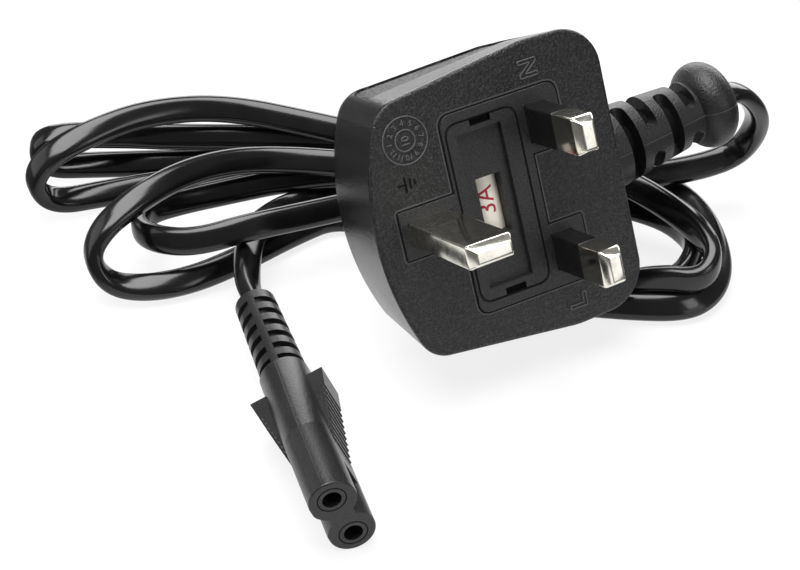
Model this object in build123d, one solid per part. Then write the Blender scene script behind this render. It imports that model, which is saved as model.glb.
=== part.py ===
from build123d import *
import math
import os

# all lengths in millimetres, angles in degrees
# placing: how the plug and the connector lie on the floor
PLUG_AT = (0.0, 0.0, 30.1)
PLUG_AZIMUTH = -63.2
PLUG_RISE_ANGLE = 24.2
PLUG_ROLL_ANGLE = 2.2
CONNECTOR_AT = (-33.5, -54.0, 7.5)
CONNECTOR_AZIMUTH = -72.7
CONNECTOR_ROLL_ANGLE = 22.4
# the point of the floor under the middle of plug and connector, moved to the origin
MIDDLE_X = -9.58
MIDDLE_Y = -11.76

# clearances
DRAWER_GAP = 0.1
GRIP_GAP = 0.05
POCKET_GAP = 0.8
CHEEK_GAP = 0.7
# how far a cut runs past the surface that it opens
CUT_PAST = 1.0
# heights closer than this count as one
SAME_HEIGHT = 0.01

# plug body: the pin face and the smaller back
PLUG_DEPTH = 18.5
FACE_LOW = -13.6
FACE_HIGH = 32.0
FACE_LOW_HALF = 24.5
FACE_WAIST_HALF = 25.0
FACE_TOP_HALF = 21.6
FACE_SHOULDER = 26.9
FACE_LOW_ROUND = 7.5
TAPER_LOW = 3.1
TAPER_HIGH = 0.8
TAPER_LOW_HALF = 5.2
TAPER_WAIST_HALF = 4.5
TAPER_TOP_HALF = 1.4
TAPER_LOW_ROUND = 1.0
BACK_SHIFT = 1.4
WAIST_ROUND = 14.0
TOP_ROUND = 5.5
BACK_EDGE_ROUND = 3.5
FACE_EDGE_ROUND = 0.6
GRIP_LOW = -6.0
GRIP_HIGH = 25.0
GRIP_FRONT = -7.4
GRIP_BACK = -16.4
GRIP_ROUND = 4.4
GRIP_DEEP = 0.5

# plug strain relief, along -y and leaning toward the neutral side
RELIEF_Z = -9.2
RELIEF_LEAN_ANGLE = 4.7
RELIEF_START = -10.0
RELIEF_WIDE = 7.7
RELIEF_NECK = 5.5
RELIEF_NECK_Y = -32.8
COLLAR_R = 7.7
COLLAR_MIDDLE_Y = -36.0
COLLAR_END_R = 5.0
RELIEF_END = -39.6
SLOT_FIRST = -18.3
SLOT_PITCH = 4.25
SLOT_COUNT = 4
SLOT_WIDTH = 2.4
SLOT_ROOT_R = 3.7
SPINE_NARROW = 3.4
SPINE_WIDE = 4.3

# pins
PIN_PITCH_X = 11.11
EARTH_Y = 22.23
PIN_WIDE = 6.35
PIN_THICK = 4.0
PIN_LONG = 17.7
EARTH_WIDE = 4.0
EARTH_TALL = 8.0
EARTH_LONG = 22.7
PIN_CHAMFER_LONG = 1.7
PIN_CHAMFER = 0.9
PIN_TAIL = 12.0
SLEEVE_WALL = 0.4
SLEEVE_TOP = 9.5
SLEEVE_FOOT = -3.0

# bridge that carries the pins
BRIDGE_EDGE = 1.9
BRIDGE_PROUD = 0.3
BRIDGE_EDGE_ROUND = 0.15
BRIDGE_LOW = -4.3
BRIDGE_HIGH = 17.2
BRIDGE_ROUND = 2.0
BRIDGE_DEPTH = 13.0
NOTCH_HALF = 6.2
NOTCH_TOP = 2.0
TONGUE_HALF = 4.1
TONGUE_TOP = 27.6

# fuse drawer
FUSE_Y = 10.1
FUSE_Z = -5.4
FUSE_LONG = 25.4
FUSE_TUBE_R = 2.95
FUSE_TUBE_WALL = 0.85
FUSE_CAP_R = 3.15
FUSE_CAP_LONG = 5.5
FUSE_CAP_WALL = 0.5
FUSE_WIRE_R = 0.25
CARRIER_END = 2.4
CARRIER_LONG = FUSE_LONG + 2 * CARRIER_END
BRIDGE_HALF = CARRIER_LONG / 2 + BRIDGE_EDGE
CARRIER_TALL = 12.6
CARRIER_ROUND = 2.0
CARRIER_THICK = 2.0
RECESS_EDGE = 1.9
RECESS_LONG = CARRIER_LONG - 2 * RECESS_EDGE
RECESS_LOW = 6.6
RECESS_HIGH = 14.7
RECESS_DEEP = 0.7
WINDOW_HALF = 5.0
WINDOW_LOW = 8.1
WINDOW_HIGH = 12.7
PRY_INSET = 0.4
PRY_X = CARRIER_LONG / 2 - PRY_INSET
PRY_WIDE = 3.8
PRY_LONG = 1.4
PRY_DEEP = 1.2
CHEEK_HALF = FUSE_LONG / 2 - FUSE_CAP_LONG - CHEEK_GAP
CHEEK_OUT = 3.9
CHEEK_FOOT = -6.0
POCKET_HALF_X = FUSE_LONG / 2 + POCKET_GAP
POCKET_HALF_Y = 4.6

# fuse clips
CLIP_SHEET = 0.5
CLIP_INSET = 0.7
CLIP_LONG = 4.0
CLIP_OUTER = FUSE_LONG / 2 - CLIP_INSET
CLIP_INNER = CLIP_OUTER - CLIP_LONG
CLIP_TOP = -3.2
STRAP_HALF = 1.25
CRIMP_R = 1.45
CRIMP_Z = -10.4
CRIMP_FRONT = -3.0
CRIMP_BACK = 2.0

# cable
CABLE_WIDE = 5.6
CABLE_THICK = 3.4
CORD_R = 2.3
CORE_R = 1.15
CORE_HALF_PITCH = 1.2
PLUG_STUB_END = -16.0
LIVE_CORE_END = 1.0
NEUTRAL_BORE = 2.0
CORE_BEND = 3.0
NEUTRAL_STRAIGHT = 9.0

# connector, nose along +z
NOSE_HALF_X = 3.8
NOSE_HALF_Y = 7.8
NOSE_BACK = -14.0
NOSE_EDGE_ROUND = 0.3
WAIST_X = 2.0
WAIST_BACK = -7.5
LOBE_R = 3.95
JUNCTION = -33.0
JUNCTION_HALF_X = 4.1
JUNCTION_HALF_Y = 5.0
NECK_HALF_X = 3.9
NECK_HALF_Y = 4.2
TAIL = -52.8
TAIL_HALF_X = 3.5
TAIL_HALF_Y = 3.6
WING_X = 6.5
WING_HALF_Y = 3.5
WING_SINK = 0.5
WING_BACK = -28.0
WING_FRONT = -8.0
WING_RIBS = 11
WING_RIB_DEEP = 0.4
WING_RIB_ANGLE = 45
WING_RIBS_FROM = 0.22
WING_RIBS_TO = 0.86
GROOVES = 6
GROOVE_FIRST = -34.2
GROOVE_PITCH = 3.16
GROOVE_WIDE = 1.5
GROOVE_ROOT_X = 2.2
GROOVE_ROOT_Y = 3.2
GROOVE_SPINE = 1.3
HOLE_Y = 4.3
HOLE_R = 1.55
RING_R = 2.2
HOLDER_BACK = -20.0
HOLDER_BAR_FRONT = -14.5
HOLDER_BAR_HALF_X = 1.6
CONTACT_R = 1.7
CONTACT_BORE_R = 1.22
CONTACT_FRONT = -4.0
CONTACT_BACK = -16.0
CONTACT_FLOOR = -17.5
CONTACT_TAIL = -22.0
CONTACT_TAIL_R = 1.5
CONNECTOR_STUB_END = -34.0
CORE_GRIP = 1.0
CORE_SPLAY_FRONT = -24.0
CORE_SPLAY_BACK = -30.5

# the hand-laid way of the cord between the two reliefs
CORD_POINTS = [
    # standing turn behind the plug's relief, then left along the back
    (38.8, 31.6, 25.6), (39.9, 35.0, 17.6), (36.6, 36.4, 10.4), (29.5, 34.2, 8.9),
    (20.0, 32.3, 8.4), (8.0, 34.0, 6.0), (-6.0, 38.0, 3.0), (-22.0, 42.5, 2.4),
    (-38.0, 45.5, 2.4), (-54.0, 45.3, 2.4), (-70.0, 44.2, 2.4), (-83.0, 43.6, 2.4),
    # hindmost fold at the left
    (-90.2, 43.2, 2.5), (-92.3, 42.8, 6.2), (-90.2, 42.4, 9.9), (-79.5, 43.8, 9.4),
    (-66.0, 44.4, 8.4), (-52.0, 45.2, 7.8), (-37.0, 45.0, 7.4), (-20.0, 44.2, 7.3),
    (-4.0, 42.3, 6.5), (10.0, 39.8, 4.8), (21.0, 37.5, 3.9),
    # outer turn at the right
    (26.6, 33.0, 3.8), (30.4, 26.0, 4.2), (32.3, 18.0, 4.2), (32.4, 10.5, 3.4),
    (30.0, 4.2, 2.7), (25.0, 0.4, 2.4), (16.0, 0.9, 2.4), (4.0, 3.2, 2.4),
    (-8.0, 6.1, 2.4), (-21.0, 14.0, 4.2), (-31.0, 21.5, 10.6), (-41.0, 16.4, 11.6),
    (-51.0, 11.8, 12.4), (-60.0, 10.2, 11.0), (-67.0, 11.6, 9.7),
    # small inner fold at the left
    (-71.0, 16.2, 8.8), (-69.8, 22.2, 8.0), (-64.0, 26.0, 7.4), (-55.5, 29.2, 7.3),
    (-46.0, 32.2, 7.6), (-34.0, 34.1, 7.8), (-18.0, 34.0, 7.6), (-3.0, 31.2, 7.4),
    (9.0, 27.2, 7.2), (17.0, 24.0, 6.2),
    # inner turn at the right
    (23.4, 20.6, 5.1), (26.3, 14.2, 3.8), (22.6, 9.2, 2.7), (13.5, 10.9, 2.4),
    (3.0, 13.6, 2.4), (-10.0, 17.0, 2.4), (-24.0, 22.3, 2.4), (-36.0, 26.0, 2.4),
    (-44.0, 21.0, 2.4), (-52.5, 14.8, 2.4), (-61.0, 9.4, 2.4), (-69.0, 7.0, 2.4),
    # large front fold at the left
    (-75.5, 7.0, 3.6), (-78.6, 9.0, 8.2), (-76.0, 11.6, 12.8), (-70.5, 16.0, 15.2),
    (-64.0, 22.4, 15.6), (-56.0, 28.4, 14.3), (-47.0, 31.3, 12.8), (-35.0, 31.0, 12.1),
    (-20.0, 29.0, 11.9), (-6.0, 25.8, 11.6), (2.5, 23.4, 11.3),
    # hidden turn behind the plug
    (8.5, 22.0, 10.8), (11.3, 19.9, 6.7), (8.4, 17.8, 2.6), (-0.5, 19.0, 2.4),
    (-9.0, 23.4, 2.4), (-17.0, 29.0, 2.4), (-26.0, 35.2, 2.4), (-37.0, 40.2, 2.4),
    (-52.0, 40.6, 2.4), (-67.0, 38.2, 2.4), (-79.0, 34.7, 2.4),
    # tall fold at the left
    (-88.0, 31.7, 2.7), (-91.3, 30.2, 7.9), (-88.4, 31.0, 13.2), (-81.5, 34.8, 15.6),
    (-71.0, 41.5, 16.0), (-57.0, 45.6, 14.4), (-40.0, 44.2, 12.5), (-24.0, 41.0, 12.3),
    (-8.0, 36.0, 12.6), (5.0, 30.5, 12.7), (15.0, 25.3, 12.4),
    # middle turn at the right
    (21.8, 19.5, 11.7), (27.0, 13.6, 10.8), (29.8, 7.4, 9.4), (27.0, 3.2, 7.4),
    (20.5, 4.4, 5.4), (12.5, 6.2, 3.0), (3.0, 8.5, 2.4), (-6.0, 10.9, 3.4),
    (-14.0, 15.4, 7.8), (-21.0, 22.4, 7.8), (-28.0, 29.4, 4.4), (-36.0, 34.4, 2.5),
    (-43.2, 32.2, 2.6), (-48.6, 25.4, 4.7),
    # up over the strands and into the connector
    (-51.2, 17.0, 7.3),
]
CORD_LEAD_OUT = 5.5
CORD_LEAD_IN = 7.0
# share of the shorter run beside a corner that its bend takes
BEND_SHARE = 0.45


def heading(azimuth, rise):
    """Unit vector from an azimuth and a rise."""
    a = math.radians(azimuth)
    r = math.radians(rise)
    return Vector(math.cos(r) * math.cos(a), math.cos(r) * math.sin(a), math.sin(r))


def rolled_up(azimuth, rise, roll):
    """The upward axis square to a heading, rolled about it."""
    out = heading(azimuth, rise)
    side = out.cross(Vector(0, 0, 1)).normalized()
    up = side.cross(out)
    r = math.radians(roll)
    return up * math.cos(r) + side * math.sin(r)


def plug_place():
    """Plug frame: z out of the pin face, x from live to neutral."""
    out = heading(PLUG_AZIMUTH, PLUG_RISE_ANGLE)
    x_dir = rolled_up(PLUG_AZIMUTH, PLUG_RISE_ANGLE, PLUG_ROLL_ANGLE)
    return Plane(origin=PLUG_AT, x_dir=x_dir, z_dir=out).location


def connector_place():
    """Connector frame: z out of the nose, y from hole to hole."""
    out = heading(CONNECTOR_AZIMUTH, 0)
    y_dir = rolled_up(CONNECTOR_AZIMUTH, 0, CONNECTOR_ROLL_ANGLE)
    return Plane(origin=CONNECTOR_AT, x_dir=y_dir.cross(out), z_dir=out).location


def block(x0, x1, y0, y1, z0, z1):
    """Box between two corners."""
    centre = ((x0 + x1) / 2, (y0 + y1) / 2, (z0 + z1) / 2)
    return Pos(*centre) * Box(x1 - x0, y1 - y0, z1 - z0)


def rod(r, start, end):
    """Cylinder between two points."""
    a = Vector(*start)
    axis = Vector(*end) - a
    where = Plane(origin=a, z_dir=axis).location
    return where * Cylinder(r, axis.length, align=(Align.CENTER, Align.CENTER, Align.MIN))


def outline(x, z, low, low_half, waist_half, shoulder, top_half, high, low_round):
    """Plug outline at one depth: flat low end, tapering sides, arched earth end."""
    right = Polyline((-low_half, low), (low_half, low), (waist_half, 0), (top_half, shoulder))
    crown = ThreePointArc((top_half, shoulder), (0, high), (-top_half, shoulder))
    left = Polyline((-top_half, shoulder), (-waist_half, 0), (-low_half, low))
    face = make_face([right.edges(), crown.edges(), left.edges()])
    corners = face.vertices().group_by(Axis.Y)
    face = fillet(corners[0], low_round)
    waist = [v for v in face.vertices() if abs(v.Y) < SAME_HEIGHT]
    face = fillet(waist, WAIST_ROUND)
    top = [v for v in face.vertices() if abs(v.Y - shoulder) < SAME_HEIGHT]
    face = fillet(top, TOP_ROUND)
    return Pos(x, 0, z) * face


def plug_body():
    """Lofted body with a rounded back edge."""
    front = outline(0, 0, FACE_LOW, FACE_LOW_HALF, FACE_WAIST_HALF, FACE_SHOULDER, FACE_TOP_HALF,
                    FACE_HIGH, FACE_LOW_ROUND)
    back = outline(BACK_SHIFT, -PLUG_DEPTH, FACE_LOW + TAPER_LOW, FACE_LOW_HALF - TAPER_LOW_HALF,
                   FACE_WAIST_HALF - TAPER_WAIST_HALF, FACE_SHOULDER - TAPER_HIGH,
                   FACE_TOP_HALF - TAPER_TOP_HALF, FACE_HIGH - TAPER_HIGH,
                   FACE_LOW_ROUND - TAPER_LOW_ROUND)
    body = loft([back.face(), front.face()], ruled=True)
    body = fillet(body.faces().sort_by(Axis.Z)[0].edges(), BACK_EDGE_ROUND)
    return fillet(body.faces().sort_by(Axis.Z)[-1].edges(), FACE_EDGE_ROUND)


def plug_grips(body):
    """Shallow finger recesses that follow the two side walls."""
    cuts = []
    middle = Pos((GRIP_LOW + GRIP_HIGH) / 2, (GRIP_FRONT + GRIP_BACK) / 2)
    plan = middle * RectangleRounded(GRIP_HIGH - GRIP_LOW, GRIP_FRONT - GRIP_BACK, GRIP_ROUND)
    for side in (-1, 1):
        slab = extrude(Plane.YZ * plan, side * (FACE_WAIST_HALF + CUT_PAST))
        cuts.append(slab - Pos(-side * GRIP_DEEP, 0, 0) * body)
    return cuts


def relief_place():
    """Where the relief stands: on its axis, leaning about the inner end of the cable."""
    hinge = Pos(0, PLUG_STUB_END, RELIEF_Z) * Rot(0, 0, RELIEF_LEAN_ANGLE)
    return hinge * Pos(0, -PLUG_STUB_END, 0)


def plug_relief():
    """Tapered relief with a round-rimmed collar, turned about its own axis."""
    taper = Polyline((0, RELIEF_END), (0, RELIEF_START), (RELIEF_WIDE, RELIEF_START),
                     (RELIEF_NECK, RELIEF_NECK_Y))
    rim = ThreePointArc((RELIEF_NECK, RELIEF_NECK_Y), (COLLAR_R, COLLAR_MIDDLE_Y),
                        (COLLAR_END_R, RELIEF_END))
    end = Line((COLLAR_END_R, RELIEF_END), (0, RELIEF_END))
    face = make_face([taper.edges(), rim.edges(), end.edges()])
    return revolve(face, Axis.Y)


def plug_slots():
    """Staggered slots across the relief, each leaving two spines, with round ends."""
    slots = []
    reach = 2 * COLLAR_R
    half = SLOT_WIDTH / 2
    for i in range(SLOT_COUNT):
        y = SLOT_FIRST - SLOT_PITCH * i
        ring = rod(reach, (0, y - half, 0), (0, y + half, 0))
        ring = ring - rod(SLOT_ROOT_R, (0, y - half, 0), (0, y + half, 0))
        narrow = i % 2 == 0
        spine = SPINE_NARROW if narrow else SPINE_WIDE
        wide = spine + SLOT_WIDTH
        if narrow:
            slot = ring - Pos(0, y, 0) * Box(2 * reach, SLOT_WIDTH, wide)
        else:
            slot = ring - Pos(0, y, 0) * Box(wide, SLOT_WIDTH, 2 * reach)
        for side in (-1, 1):
            at = side * wide / 2
            if narrow:
                end = rod(half, (-reach, y, at), (reach, y, at))
            else:
                end = rod(half, (at, y, -reach), (at, y, reach))
            slot = slot + (ring & end)
        slots.append(slot)
    return slots


def flat_oval(length):
    """Cable section, wide along y, run along z."""
    return extrude(SlotOverall(CABLE_WIDE, CABLE_THICK, rotation=90), length)


def plug_stub():
    """Flat cable inside the plug relief."""
    where = Plane(origin=(0, RELIEF_END, 0), x_dir=(1, 0, 0), z_dir=(0, 1, 0)).location
    stub = relief_place() * where * flat_oval(PLUG_STUB_END - RELIEF_END)
    return stub - plug_live_core() - plug_neutral_core()


def connector_stub():
    """Flat cable inside the connector relief."""
    return Pos(0, 0, TAIL) * flat_oval(CONNECTOR_STUB_END - TAIL)


def bridge_blank():
    """Plan of the bridge: plate, notch at the low side, tongue round the earth pin."""
    plate = Rectangle(2 * BRIDGE_HALF, BRIDGE_HIGH - BRIDGE_LOW)
    plate = fillet(plate.vertices(), BRIDGE_ROUND)
    plate = Pos(0, (BRIDGE_HIGH + BRIDGE_LOW) / 2) * plate
    tongue_tall = TONGUE_TOP - BRIDGE_HIGH + BRIDGE_ROUND
    tongue = Pos(0, TONGUE_TOP - tongue_tall / 2) * Rectangle(2 * TONGUE_HALF, tongue_tall)
    notch_tall = NOTCH_TOP - BRIDGE_LOW
    notch = Pos(0, NOTCH_TOP - notch_tall / 2) * Rectangle(2 * NOTCH_HALF, notch_tall)
    blank = Pos(0, 0, BRIDGE_PROUD) * extrude(plate + tongue - notch, -BRIDGE_DEPTH - BRIDGE_PROUD)
    return fillet(blank.faces().sort_by(Axis.Z)[-1].edges(), BRIDGE_EDGE_ROUND)


def blade(wide, tall, long):
    """Pin with a tapered tip, from its tail to its end."""
    shank_top = long - PIN_CHAMFER_LONG
    shank = block(-wide / 2, wide / 2, -tall / 2, tall / 2, -PIN_TAIL, shank_top)
    foot = Pos(0, 0, shank_top) * Rectangle(wide, tall)
    tip = Pos(0, 0, long) * Rectangle(wide - 2 * PIN_CHAMFER, tall - 2 * PIN_CHAMFER)
    return shank + loft([foot.face(), tip.face()], ruled=True)


def sleeve_tube():
    """Insulating sleeve, flush with the pin beyond it."""
    wide = PIN_WIDE / 2
    thick = PIN_THICK / 2
    outer = block(-wide, wide, -thick, thick, SLEEVE_FOOT, SLEEVE_TOP)
    wide = wide - SLEEVE_WALL
    thick = thick - SLEEVE_WALL
    return outer - block(-wide, wide, -thick, thick, SLEEVE_FOOT, SLEEVE_TOP)


def fuse_tube():
    """Hollow ceramic tube along x."""
    half = FUSE_LONG / 2 - FUSE_CAP_WALL
    outer = rod(FUSE_TUBE_R, (-half, FUSE_Y, FUSE_Z), (half, FUSE_Y, FUSE_Z))
    return outer - rod(FUSE_TUBE_R - FUSE_TUBE_WALL, (-half, FUSE_Y, FUSE_Z), (half, FUSE_Y, FUSE_Z))


def fuse_cap(side):
    """Metal cup over one end of the tube."""
    end = side * FUSE_LONG / 2
    mouth = side * (FUSE_LONG / 2 - FUSE_CAP_LONG)
    floor = side * (FUSE_LONG / 2 - FUSE_CAP_WALL)
    cup = rod(FUSE_CAP_R, (mouth, FUSE_Y, FUSE_Z), (end, FUSE_Y, FUSE_Z))
    return cup - rod(FUSE_TUBE_R, (mouth, FUSE_Y, FUSE_Z), (floor, FUSE_Y, FUSE_Z))


def fuse_wire():
    """Thin wire from cap to cap."""
    half = FUSE_LONG / 2 - FUSE_CAP_WALL
    return rod(FUSE_WIRE_R, (-half, FUSE_Y, FUSE_Z), (half, FUSE_Y, FUSE_Z))


def carrier_seat(grow, deep):
    """Rounded plate of the carrier, grown by a gap where it is a seat."""
    plan = Rectangle(CARRIER_LONG + 2 * grow, CARRIER_TALL + 2 * grow)
    plan = fillet(plan.vertices(), CARRIER_ROUND + grow)
    return Pos(0, FUSE_Y, BRIDGE_PROUD) * extrude(plan, -deep - BRIDGE_PROUD)


def fuse_carrier():
    """Drawer front with a window, two pry notches and two cheeks that hold the fuse."""
    above = BRIDGE_PROUD + CUT_PAST
    half = RECESS_LONG / 2
    plate = carrier_seat(0, CARRIER_THICK)
    plate = plate - block(-half, half, RECESS_LOW, RECESS_HIGH, -RECESS_DEEP, above)
    low = FUSE_Y - CHEEK_OUT
    high = FUSE_Y + CHEEK_OUT
    body = plate + block(-CHEEK_HALF, CHEEK_HALF, low, high, CHEEK_FOOT, -CARRIER_THICK)
    body = body - block(-WINDOW_HALF, WINDOW_HALF, WINDOW_LOW, WINDOW_HIGH, CHEEK_FOOT, above)
    low = FUSE_Y - PRY_WIDE / 2
    high = FUSE_Y + PRY_WIDE / 2
    for side in (-1, 1):
        x = side * PRY_X
        body = body - block(x - PRY_LONG / 2, x + PRY_LONG / 2, low, high, -PRY_DEEP, above)
    return body - rod(FUSE_TUBE_R, (-FUSE_LONG, FUSE_Y, FUSE_Z), (FUSE_LONG, FUSE_Y, FUSE_Z))


def clip_channel(side):
    """Sheet channel that grips one cap, open toward the pin face."""
    half_in = FUSE_CAP_R + GRIP_GAP
    floor = FUSE_Z - half_in
    half_out = half_in + CLIP_SHEET
    a = min(side * CLIP_INNER, side * CLIP_OUTER)
    b = max(side * CLIP_INNER, side * CLIP_OUTER)
    channel = block(a, b, FUSE_Y - half_out, FUSE_Y + half_out, floor - CLIP_SHEET, CLIP_TOP)
    return channel - block(a, b, FUSE_Y - half_in, FUSE_Y + half_in, floor, 0)


def clip_pin_side():
    """Clip with a strap that runs to the live pin."""
    floor = FUSE_Z - FUSE_CAP_R - GRIP_GAP
    strap = block(-CLIP_OUTER, -CLIP_INNER, PIN_THICK / 2, FUSE_Y, floor - CLIP_SHEET, floor)
    return clip_channel(-1) + strap


def clip_load_side():
    """Clip with a strap under the fuse, a tongue and a crimp barrel for the live core."""
    floor = FUSE_Z - FUSE_CAP_R - GRIP_GAP
    low = FUSE_Y - STRAP_HALF
    high = FUSE_Y + STRAP_HALF
    under = block(-STRAP_HALF, CLIP_OUTER, low, high, floor - CLIP_SHEET, floor)
    tongue = block(-STRAP_HALF, STRAP_HALF, CRIMP_FRONT + CRIMP_BACK, FUSE_Y, floor - CLIP_SHEET, floor)
    barrel = rod(CRIMP_R, (0, CRIMP_FRONT, CRIMP_Z), (0, CRIMP_BACK, CRIMP_Z))
    return clip_channel(1) + under + tongue + barrel - plug_live_core()


def plug_live_core():
    """Live core from the end of the flat cable into the crimp."""
    return rod(CORE_R, (0, PLUG_STUB_END, CRIMP_Z), (0, LIVE_CORE_END, CRIMP_Z))


def plug_neutral_core():
    """Neutral core, bent aside into the neutral pin."""
    z = RELIEF_Z + CORE_HALF_PITCH
    end_x = PIN_PITCH_X - PIN_WIDE / 2 + NEUTRAL_BORE
    bend_y = PLUG_STUB_END + NEUTRAL_STRAIGHT
    path = FilletPolyline((0, PLUG_STUB_END, z), (0, bend_y, z), (NOTCH_HALF, 0, z), (end_x, 0, z),
                          radius=CORE_BEND)
    section = Plane(origin=path @ 0, z_dir=path % 0) * Circle(CORE_R)
    return sweep(section, path)


def stadium(half_x, half_y, z):
    """Slot-shaped section, long along y."""
    return Pos(0, 0, z) * SlotOverall(2 * half_y, 2 * half_x, rotation=90)


def connector_shell():
    """Nose, tapering body and round relief."""
    nose = extrude(stadium(NOSE_HALF_X, NOSE_HALF_Y, NOSE_BACK), -NOSE_BACK)
    nose = fillet(nose.faces().sort_by(Axis.Z)[-1].edges(), NOSE_EDGE_ROUND)
    body = loft([stadium(JUNCTION_HALF_X, JUNCTION_HALF_Y, JUNCTION).face(),
                 stadium(NOSE_HALF_X, NOSE_HALF_Y, NOSE_BACK).face()], ruled=True)
    relief = loft([stadium(TAIL_HALF_X, TAIL_HALF_Y, TAIL).face(),
                   stadium(NECK_HALF_X, NECK_HALF_Y, JUNCTION).face()], ruled=True)
    return nose + body + relief


def connector_wings():
    """Two finger wings with flat backs and ribbed slopes."""
    plan = Plane.XZ.offset(-WING_HALF_Y)
    foot = NOSE_HALF_X - WING_SINK
    points = [(-WING_X, WING_BACK), (WING_X, WING_BACK), (foot, WING_FRONT), (-foot, WING_FRONT)]
    wings = extrude(plan * make_face(Polyline(*points, close=True)), 2 * WING_HALF_Y)
    notch = Rot(0, WING_RIB_ANGLE, 0) * Box(2 * WING_RIB_DEEP, 2 * WING_HALF_Y, 2 * WING_RIB_DEEP)
    for i in range(WING_RIBS):
        t = WING_RIBS_FROM + (WING_RIBS_TO - WING_RIBS_FROM) * i / (WING_RIBS - 1)
        x = WING_X + (foot - WING_X) * t
        z = WING_BACK + (WING_FRONT - WING_BACK) * t
        for side in (-1, 1):
            wings = wings - Pos(side * x, 0, z) * notch
    return wings


def connector_cuts():
    """Side waists between the two lobes of the nose, and the flex grooves of the relief."""
    cuts = []
    lobe_y = NOSE_HALF_Y - NOSE_HALF_X
    reach = 2 * NOSE_HALF_X
    for side in (-1, 1):
        a = min(side * WAIST_X, side * reach)
        b = max(side * WAIST_X, side * reach)
        waist = block(a, b, -lobe_y, lobe_y, WAIST_BACK, CUT_PAST)
        for lobe in (-lobe_y, lobe_y):
            waist = waist - rod(LOBE_R, (0, lobe, WAIST_BACK), (0, lobe, CUT_PAST))
        cuts.append(waist)
    reach = 2 * NECK_HALF_Y
    spine = GROOVE_SPINE / 2
    for i in range(GROOVES):
        low = GROOVE_FIRST - GROOVE_PITCH * i - GROOVE_WIDE / 2
        high = low + GROOVE_WIDE
        root = extrude(stadium(GROOVE_ROOT_X, GROOVE_ROOT_Y, low), GROOVE_WIDE)
        groove = block(-reach, reach, -reach, reach, low, high) - root
        cuts.append(groove - block(-spine, spine, -reach, reach, low, high))
    return cuts


def contact(side):
    """Pin socket with a crimp tail."""
    y = side * HOLE_Y
    body = rod(CONTACT_R, (0, y, CONTACT_FLOOR), (0, y, CONTACT_FRONT))
    tail = rod(CONTACT_TAIL_R, (0, y, CONTACT_TAIL), (0, y, CONTACT_FLOOR))
    bore = rod(CONTACT_BORE_R, (0, y, CONTACT_BACK), (0, y, CONTACT_FRONT))
    return body + tail - bore - connector_core(side)


def connector_core(side):
    """Core from the flat cable out to one contact."""
    near = side * CORE_HALF_PITCH
    far = side * HOLE_Y
    path = FilletPolyline((0, near, CONNECTOR_STUB_END), (0, near, CORE_SPLAY_BACK),
                          (0, far, CORE_SPLAY_FRONT), (0, far, CONTACT_FLOOR - CORE_GRIP),
                          radius=CORE_BEND)
    section = Plane(origin=path @ 0, z_dir=path % 0) * Circle(CORE_R)
    return sweep(section, path)


def contact_holder():
    """Insert with two tubes joined by a bar, flush with the nose."""
    holder = block(-HOLDER_BAR_HALF_X, HOLDER_BAR_HALF_X, -HOLE_Y, HOLE_Y, HOLDER_BACK, HOLDER_BAR_FRONT)
    for side in (-1, 1):
        holder = holder + rod(RING_R, (0, side * HOLE_Y, HOLDER_BACK), (0, side * HOLE_Y, 0))
    for side in (-1, 1):
        y = side * HOLE_Y
        holder = holder - rod(HOLE_R, (0, y, CONTACT_FRONT), (0, y, CUT_PAST))
        holder = holder - rod(CONTACT_R, (0, y, CONTACT_FLOOR), (0, y, CONTACT_FRONT))
        holder = holder - rod(CONTACT_TAIL_R, (0, y, CONTACT_TAIL), (0, y, CONTACT_FLOOR))
    return holder


def cord_path(start, start_dir, end, end_dir):
    """Straight runs with tangent arcs, from one relief to the other."""
    points = [start, start + start_dir * CORD_LEAD_OUT]
    points = points + [Vector(*p) for p in CORD_POINTS]
    points = points + [end - end_dir * CORD_LEAD_IN, end]
    runs = [(b - a).length for a, b in zip(points, points[1:])]
    radii = []
    for i in range(1, len(points) - 1):
        turn = (points[i] - points[i - 1]).get_angle(points[i + 1] - points[i])
        radii.append(BEND_SHARE * min(runs[i - 1], runs[i]) / math.tan(math.radians(turn / 2)))
    print("cord radii", [round(r, 1) for r in radii])
    return FilletPolyline(*points, radius=radii)


def cord(plug, connector):
    """Cord between the reliefs with the flat ends held inside them."""
    relief = plug * relief_place()
    start = (relief * Pos(0, RELIEF_END, 0)).position
    start_dir = Plane(relief).y_dir * -1
    end = (connector * Pos(0, 0, TAIL)).position
    end_dir = heading(CONNECTOR_AZIMUTH, 0)
    path = cord_path(start, start_dir, end, end_dir)
    section = Plane(origin=path @ 0, z_dir=path % 0) * Circle(CORD_R)
    tube = sweep(section, path)
    expect = math.pi * CORD_R**2 * path.length
    print("cord length", round(path.length, 1), "volume ratio", round(tube.volume / expect, 4))
    return tube + plug * plug_stub() + connector * connector_stub()


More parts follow.
